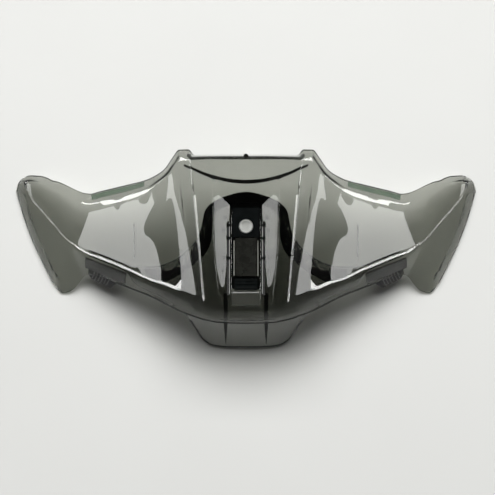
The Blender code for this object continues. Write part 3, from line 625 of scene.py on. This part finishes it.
# Painted highlight: the pads' ribs are the pads' black rubber, coloured light grey for the sheen
# along their crests.
RIB_SHEEN = moulded("rib_painted_sheen", (0.16, 0.16, 0.157), (0.22, 0.22, 0.215), 0.4, 900.0, 0.03)
RUBBER = moulded("rubber", (0.003, 0.003, 0.003), (0.008, 0.008, 0.008), 0.5, 1500.0, 0.25)
BLACK = moulded(
    "black_moulding", (0.0015, 0.002, 0.002), (0.004, 0.005, 0.005), 0.07, 1800.0, 0.008,
    specular=0.3,
)
MATTE = moulded(
    "matte_black_moulding", (0.002, 0.002, 0.002), (0.004, 0.004, 0.004), 0.5, 1500.0, 0.1,
    specular=0.12,
)
LINE = moulded("line_grey", (0.13, 0.13, 0.125), (0.17, 0.17, 0.165), 0.4, 900.0, 0.05)
GREY = moulded(
    "grey_moulding", (0.006, 0.0063, 0.005), (0.011, 0.0114, 0.0095), 0.09, 1800.0, 0.012,
    specular=0.3,
)
RAIL = moulded(
    "rail_moulding", (0.006, 0.006, 0.006), (0.012, 0.012, 0.011), 0.2, 1500.0, 0.08,
    coat=0.3,
)
# Satin grey: the button's own colour. On the rails' lips, the shutter's runners and the carriage's
# end bar it is painted highlight along their edges.
SATIN_AND_HIGHLIGHT = moulded("satin_and_painted_highlight", (0.20, 0.205, 0.19), (0.27, 0.275, 0.26), 0.33, 1400.0, 0.12)
STEEL = moulded(
    "drawn_steel", (0.42, 0.42, 0.41), (0.6, 0.6, 0.59), 0.25, 2500.0, 0.15,
    metallic=1.0,
)
FOAM = foam_material()
FILM = film_material()

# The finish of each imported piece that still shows.
CAD_LOOKS = {
    "locating_peg": GREY, "shutter_panel": GREY,
    "guide_rail_left": RAIL, "guide_rail_right": RAIL,
    "latch_plate": BLACK, "slide_tray": BLACK, "thumb_block": BLACK,
    # The carriage's end bar is light grey as painted highlight along the slider's lower edge.
    "slide_carriage": CLEAR, "carriage_end_bar": SATIN_AND_HIGHLIGHT,
    "button_spring": STEEL, "detent_spring_left": STEEL, "detent_spring_right": STEEL,
    "edge_tape_left": FILM, "edge_tape_right": FILM,
    "wing_block_left": MATTE, "wing_block_right": MATTE,
    "rubber_pad_left": RUBBER, "rubber_pad_right": RUBBER,
}


# ---------------------------------------------------------------- mesh tools


def placed(point):
    """A table's point in the frame, in metres."""
    return (Vector(point) + PLACE) * MM


def add_mesh(name, points, faces, material, body, node):
    """A piece from table points, riding on a body, in place of a node where one is named."""
    mesh = bpy.data.meshes.new(name)
    mesh.from_pydata([placed(p) for p in points], [], faces)
    shape = bmesh.new()
    shape.from_mesh(mesh)
    loose = [v for v in shape.verts if not v.link_faces]
    bmesh.ops.delete(shape, geom=loose, context="VERTS")
    bmesh.ops.recalc_face_normals(shape, faces=shape.faces)
    shape.to_mesh(mesh)
    shape.free()
    mesh.materials.append(material)
    piece = bpy.data.objects.new(name, mesh)
    bpy.context.scene.collection.objects.link(piece)
    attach(piece, body)
    if node:
        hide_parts(node)
    return piece


def smooth(piece, degrees=PIECE_SHARP):
    """Smooth shading, with sharp edges past an angle."""
    piece.data.shade_smooth()
    piece.data.set_sharp_from_angle(angle=math.radians(degrees))


def bake_modifiers(piece):
    """Replaces a piece's mesh by its evaluated one."""
    graph = bpy.context.evaluated_depsgraph_get()
    mesh = bpy.data.meshes.new_from_object(piece.evaluated_get(graph))
    piece.modifiers.clear()
    piece.data = mesh


def bevelled(piece, name, width, segments, degrees):
    """A bevel on the edges that are sharper than an angle, as its modifier."""
    bevel = piece.modifiers.new(name, "BEVEL")
    bevel.width = width * MM
    bevel.segments = segments
    bevel.limit_method = "ANGLE"
    bevel.angle_limit = math.radians(degrees)
    return bevel


def round_edges(piece, width):
    """Rounded edges, shaded smooth."""
    bevel = bevelled(piece, "edges", width, EDGE_SEGMENTS, EDGE_ANGLE)
    bevel.use_clamp_overlap = True
    bevel.harden_normals = True


def sheet(columns, keep=None):
    """The points and faces of an open sheet through equal columns of points."""
    rows = len(columns[0])
    points = [p for column in columns for p in column]
    faces = []
    for i in range(len(columns) - 1):
        for j in range(rows - 1):
            if keep is None or keep(columns, i, j):
                a = i * rows + j
                faces.append((a, a + 1, a + rows + 1, a + rows))
    return points, faces


def surface_tree(points, faces):
    """A search tree over a moulding's outer face."""
    return BVHTree.FromPolygons([Vector(p) for p in points], faces)


def height_on(tree, x, y):
    """The height of a moulding's outer face above a point of the ground plane."""
    return tree.ray_cast(Vector((x, y, ABOVE_ALL)), Vector((0, 0, -1)))[0].z


def wall_from(name, points, faces, wall, rim_round, material, node, slot):
    """A closed moulded wall, thickened inwards from its outer face, with a rounded rim."""
    piece = add_mesh(name, points, faces, material, "screen", node)
    mesh = piece.data
    if sum(face.normal.z * face.area for face in mesh.polygons) < 0:
        mesh.flip_normals()
    thickness = piece.modifiers.new("wall", "SOLIDIFY")
    thickness.thickness = wall * MM
    thickness.offset = -1
    thickness.use_even_offset = True
    bevelled(piece, "rim", rim_round, RIM_SEGMENTS, RIM_ANGLE)
    bake_modifiers(piece)
    smooth(piece, WALL_SHARP)


def ring_faces(rings, sides):
    """The faces of a stack of equal rings of points, closed at both ends."""
    last = (rings - 1) * sides
    faces = [tuple(range(sides)), tuple(range(last, last + sides))]
    for ring in range(rings - 1):
        for k in range(sides):
            a = ring * sides + k
            b = ring * sides + (k + 1) % sides
            faces.append((a, b, b + sides, a + sides))
    return faces


def bead(name, path, radius, material):
    """A round bead along a path, closed at both ends."""
    points = []
    for i, centre in enumerate(path):
        ahead = path[min(i + 1, len(path) - 1)]
        behind = path[max(i - 1, 0)]
        along = (ahead - behind).normalized()
        across = along.cross(Vector((0, 0, 1))).normalized()
        upright = across.cross(along)
        for k in range(BEAD_SIDES):
            angle = math.tau * k / BEAD_SIDES
            out = across * math.cos(angle) + upright * math.sin(angle)
            points.append(centre + out * radius)
    faces = ring_faces(len(path), BEAD_SIDES)
    smooth(add_mesh(name, points, faces, material, "screen", None))


def prism(name, top, bottom, material, node, slot):
    """A solid between two equal grids of points, the upper and the lower one."""
    rows = len(top[0])
    count = len(top) * rows
    points = [p for line in top for p in line] + [p for line in bottom for p in line]
    faces = []
    for i in range(len(top) - 1):
        for j in range(rows - 1):
            a = i * rows + j
            quad = (a, a + 1, a + rows + 1, a + rows)
            faces.append(quad)
            faces.append(tuple(k + count for k in reversed(quad)))
    border = [i * rows for i in range(len(top))]
    border += [(len(top) - 1) * rows + j for j in range(1, rows)]
    border += [i * rows + rows - 1 for i in range(len(top) - 2, -1, -1)]
    border += list(range(rows - 2, 0, -1))
    for a, b in zip(border, border[1:] + border[:1]):
        faces.append((a, b, b + count, a + count))
    return add_mesh(name, points, faces, material, "screen", node)


def draped(name, lines, tree, heights, material, node, slot):
    """A strip that follows a moulding, between two heights from its outer face."""
    grids = []
    for height in heights:
        grid = []
        for line in lines:
            grid.append([(x, y, height_on(tree, x, y) + height) for x, y in line])
        grids.append(grid)
    return prism(name, *grids, material, node, slot)


# ---------------------------------------------------------------- mouldings and seals


def with_rim(column):
    """The cross-section with its rim's rounded top added."""
    edge = column[0]
    foot = column[1]
    top = foot.lerp(edge, RIM_SHOULDER)
    top.z = foot.z + RIM_RISE * min(1.0, (edge - foot).length / RIM_FULL)
    return [edge, top, *column[1:]]


def shell_roundings(column):
    """How far each of a cross-section's corners is rounded."""
    out = abs(column[RIDGE].x)
    centre = max(0.0, 1 - out / CENTRE_FADE)
    ridge = RIDGE_ROUND + (CENTRE_RIDGE_ROUND - RIDGE_ROUND) * centre
    if out > TIP_START:
        ridge = TIP_RIDGE_ROUND
    top = LATCH_TOP_ROUND if out < LATCH_HALF else FACE_ROUND
    return [RIM_ROUND, CREASE_ROUND, top, FACE_ROUND, ridge, LIP_ROUND]


def outside_slot(columns, i, j):
    """False for the faces that the latch's slot takes away."""
    corners = [*columns[i][j:j + 2], *columns[i + 1][j:j + 2]]
    middle = sum(corners, Vector()) / len(corners)
    return not (abs(middle.x) < SLOT_HALF and SLOT_END < middle.y < SLOT_TOP)


def edge_bead(name, lines, reach, inset, radius, material):
    """A bead along the last points of a moulding's lines, out to a distance from the centre."""
    edge = [line[-1] + inset for line in lines if abs(line[-1].x) < reach]
    bead(name, edge, radius, material)


def make_shell():
    """The outer moulding with its slot and a black line of painted shade along its front lip, and
    its face's search tree.
    """
    columns = [with_rim(column) for column in columns_of(mirrored(SHELL), SHELL_STEPS)]
    lines = [rounded_line(column, shell_roundings(column)) for column in columns]
    slot = "smoked_shell"
    skin = sheet(lines, outside_slot)
    wall_from("shell_skin", *skin, SHELL_WALL, SHELL_RIM, SMOKE, "outer_shell", slot)
    # A black bead of painted shade along the front lip.
    edge_bead("lip_shade_line", lines, LIP_REACH, LIP_INSET, LIP_BEAD, PAINTED_LIP_SHADE)
    return surface_tree(*sheet(lines))


def make_panel():
    """The inner moulding with a bead along its tongue, darkened as painted shade, and its face's
    search tree.
    """
    columns = columns_of(mirrored(PANEL), PANEL_STEPS)
    lines = [rounded_line(column, [BELLY_ROUND, KNEE_ROUND]) for column in columns]
    slot = "smoked_panel"
    skin = sheet(lines)
    wall_from("panel_skin", *skin, PANEL_WALL, PANEL_RIM, SMOKE_PANEL, "inner_panel", slot)
    edge_bead("tongue_bead", lines, TONGUE_REACH, TONGUE_INSET, TONGUE_BEAD, SMOKE_BEAD_SHADED)
    return surface_tree(*skin)


def make_gasket(tree):
    """The arch of foam under the inner moulding."""
    stations = mirrored([[(*p, 0) for p in pair] for pair in GASKET])
    lines = []
    for outer, inner in columns_of(stations, GASKET_STEPS):
        shares = [i / GASKET_ROWS for i in range(GASKET_ROWS + 1)]
        lines.append([outer.lerp(inner, share).to_2d() for share in shares])
    heights = (GASKET_TOP, GASKET_TOP - GASKET_THICK)
    piece = draped("foam_seal", lines, tree, heights, FOAM, "foam_gasket", "black_foam")
    round_edges(piece, GASKET_EDGE)
    smooth(piece)


def make_top_seal(tree):
    """The thin curved seal under the upper edge, narrower towards its ends."""
    stations = mirrored([[(*p, 0)] for p in SEAL_ARC])
    centres = [column[0].to_2d() for column in columns_of(stations, SEAL_STEPS)]
    lines = []
    for i, centre in enumerate(centres):
        ahead = centres[min(i + 1, len(centres) - 1)]
        behind = centres[max(i - 1, 0)]
        aside = centre.x / SEAL_ARC[-1][0]
        width = SEAL_WIDTH * (SEAL_ENDS + SEAL_SWELL * (1 - aside ** 2))
        half = (ahead - behind).normalized().orthogonal() * width / 2
        lines.append([centre + half, centre - half])
    heights = (SEAL_TOP, SEAL_TOP - SEAL_DEPTH)
    piece = draped("seal_strip", lines, tree, heights, RUBBER, "top_seal", "black_rubber")
    round_edges(piece, SEAL_EDGE)
    smooth(piece)


# ---------------------------------------------------------------- latch, lines and ribs


def channel_point(x, y, height):
    """A point on the latch's sloping plane, a height above it."""
    return Vector((x, y, CHANNEL_Z + CHANNEL_SLOPE * y)) + CHANNEL_NORMAL * height


def channel_bar(name, sign, ranges, material, body):
    """A bar along the latch, on one side, from its ranges of x, y and height."""
    (near, far), (y0, y1), heights = ranges
    x0, x1 = sorted((sign * near, sign * far))
    points = []
    for height in heights:
        for x, y in ((x0, y0), (x1, y0), (x1, y1), (x0, y1)):
            points.append(channel_point(x, y, height))
    piece = add_mesh(name, points, ring_faces(2, 4), material, body, None)
    round_edges(piece, BAR_EDGE)


def make_button():
    """The dished push button."""
    across = Vector((1, 0, 0))
    along = CHANNEL_NORMAL.cross(across)
    points = []
    for radius, height in BUTTON_PROFILE:
        centre = channel_point(0, BUTTON_Y, height)
        for k in range(BUTTON_SIDES):
            angle = math.tau * k / BUTTON_SIDES
            out = across * math.cos(angle) + along * math.sin(angle)
            points.append(centre + out * radius)
    faces = ring_faces(len(BUTTON_PROFILE), BUTTON_SIDES)
    smooth(add_mesh("button_cap", points, faces, SATIN_AND_HIGHLIGHT, "button", "push_button"))


def make_latch_details():
    """The rails' lips and stops, and the runners beside the shutter; lips and runners are light
    grey as painted highlight lines along the edges.
    """
    for side, sign in SIDES:
        lip = (RAIL_LIP_X, RAIL_LIP_Y, RAIL_LIP_HEIGHTS)
        channel_bar(f"rail_lip_{side}", sign, lip, SATIN_AND_HIGHLIGHT, "screen")
        runner = (RUNNER_X, RUNNER_Y, RUNNER_HEIGHTS)
        channel_bar(f"shutter_runner_{side}", sign, runner, SATIN_AND_HIGHLIGHT, "slider")
        for number, y in enumerate(RAIL_STOPS, 1):
            stop = (RAIL_STOP_X, (y - RAIL_STOP_HALF, y + RAIL_STOP_HALF), RAIL_STOP_HEIGHTS)
            name = f"rail_stop_{side}_{number}"
            channel_bar(name, sign, stop, BLACK, "screen")


def make_face_lines(tree):
    """A fine grey line along each wing's face."""
    start, end = FACE_LINE_Y
    for side, sign in SIDES:
        x = sign * FACE_LINE_X
        lines = []
        for i in range(FACE_LINE_STEPS + 1):
            y = start + (end - start) * i / FACE_LINE_STEPS
            lines.append([(x - FACE_LINE_HALF, y), (x + FACE_LINE_HALF, y)])
        name = f"face_line_{side}"
        draped(name, lines, tree, FACE_LINE_HEIGHTS, LINE, None, "grey_plastic")


def make_pad_ribs():
    """Low ribs across the top of each rubber pad, out to its front edge, painted light grey as
    highlights.
    """
    start, end = (Vector((*p, PAD_TOP)) for p in PAD_EDGE)
    along = (end - start).normalized()
    inwards = Vector((-along.y, along.x, 0))
    if inwards.y < 0:
        inwards = -inwards
    half = along * PAD_RIB_HALF
    length = inwards * PAD_RIB_LENGTH
    for side, sign in SIDES:
        for number in range(1, PAD_RIBS + 1):
            middle = start.lerp(end, (number - 0.5) / PAD_RIBS)
            ring = [middle - half, middle + half, middle + half + length, middle - half + length]
            points = [(sign * p.x, p.y, p.z + z) for z in (0, PAD_RIB_HEIGHT) for p in ring]
            name = f"pad_rib_{side}_{number}"
            piece = add_mesh(
                name, points, ring_faces(2, 4), RIB_SHEEN, "screen", None
            )
            round_edges(piece, BAR_EDGE)


def make_ribs(tree):
    """The two black ribs that run down over the tongue and end in a point, each with a notch."""
    for side, sign in SIDES:
        x = sign * RIB_X
        lines = [[(x - half, y), (x + half, y)] for y, half in RIB_LINE]
        name = f"tongue_rib_{side}"
        node = f"panel_rib_{side}"
        piece = draped(name, lines, tree, RIB_HEIGHTS, MATTE, node, "black_plastic")
        round_edges(piece, RIB_EDGE)


def dress_nodes():
    """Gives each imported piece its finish, and some of them rounded edges."""
    for name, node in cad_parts.items():
        look = CAD_LOOKS.get(name, GREY)
        for slot in node.material_slots:
            slot.material = look
        if name in SHARP_EDGED:
            bevelled(node, "edges", SHARP_EDGED[name], NODE_EDGE_SEGMENTS, EDGE_ANGLE)


# ---------------------------------------------------------------- studio


def link(name, data):
    """A new object in the scene."""
    thing = bpy.data.objects.new(name, data)
    bpy.context.scene.collection.objects.link(thing)
    return thing


def area_lamp(name, size, radiance):
    """A rectangular lamp that is as bright all over as its radiance."""
    lamp = bpy.data.lights.new(name, "AREA")
    lamp.shape = "RECTANGLE"
    lamp.size, lamp.size_y = size
    lamp.energy = radiance * math.pi * lamp.size * lamp.size_y
    return link(name, lamp)


def overhead(name, across, along, radiance):
    """A soft box facing straight down, seen in reflections only, and its mirror image."""
    x0, x1 = (BOX_HEIGHT * math.tan(math.radians(a)) for a in across)
    y0, y1 = (BOX_HEIGHT * math.tan(math.radians(a)) for a in along)
    for side, sign in (("left", 1), ("right", -1)):
        box = area_lamp(f"{name}_{side}", (x1 - x0, y1 - y0), radiance)
        box.location = (sign * (x0 + x1) / 2, (y0 + y1) / 2, BOX_HEIGHT)
        box.visible_diffuse = False


def fill_light():
    """The large soft box that lights the floor and gives the shadow. Nothing mirrors it."""
    box = area_lamp("fill", FILL_SIZE, FILL_RADIANCE)
    box.location = FILL_PLACE
    box.rotation_euler = (-FILL_PLACE).to_track_quat("-Z", "Y").to_euler()
    box.visible_glossy = False
    box.visible_transmission = False


def make_lights():
    for name, across, along, radiance in SOFT_BOXES:
        overhead(name, across, along, radiance)
    fill_light()


def make_camera():
    """The camera, straight above the object."""
    data = bpy.data.cameras.new("camera")
    data.sensor_width = SENSOR
    data.lens = SENSOR * (CAMERA_PLACE.z - MIDDLE_HEIGHT) / VIEW_WIDTH
    data.clip_end = CAMERA_REACH
    camera = link("camera", data)
    camera.location = CAMERA_PLACE
    bpy.context.scene.camera = camera


def make_floor():
    """A plain pale floor with a faint grain."""
    material, tree = blank("pale_table")
    shader = tree.nodes.new("ShaderNodeBsdfPrincipled")
    shader.inputs["Roughness"].default_value = FLOOR_ROUGH
    shader.inputs["Specular IOR Level"].default_value = FLOOR_SPECULAR
    grain = noise(tree, *FLOOR_GRAIN).outputs[0]
    tree.links.new(toned(tree, grain, *FLOOR_TONES), shader.inputs["Base Color"])
    surface_out(tree, shader)
    mesh = bpy.data.meshes.new("floor")
    half = FLOOR_HALF
    corners = [(-half, -half, 0), (half, -half, 0), (half, half, 0), (-half, half, 0)]
    mesh.from_pydata(corners, [], [(0, 1, 2, 3)])
    mesh.materials.append(material)
    floor = link("floor", mesh)
    floor.location = (0, 0, -FLOOR_DROP)


def make_world():
    """A studio that is pale near the floor and dark overhead, so level faces reflect little."""
    world = bpy.data.worlds.new("studio")
    world.use_nodes = True
    tree = world.node_tree
    place = tree.nodes.new("ShaderNodeTexCoord")
    parts = tree.nodes.new("ShaderNodeSeparateXYZ")
    tree.links.new(place.outputs["Generated"], parts.inputs[0])
    tone = ramp(tree, parts.outputs["Z"], WORLD_STOPS)
    tree.links.new(tone, tree.nodes["Background"].inputs["Color"])
    bpy.context.scene.world = world


def main():
    shell_tree = make_shell()
    panel_tree = make_panel()
    make_gasket(panel_tree)
    make_top_seal(shell_tree)
    make_button()
    make_latch_details()
    make_face_lines(shell_tree)
    make_pad_ribs()
    make_ribs(panel_tree)
    dress_nodes()
    make_floor()
    make_world()
    make_lights()
    make_camera()
    bpy.context.scene.view_settings.view_transform = "Standard"


main()
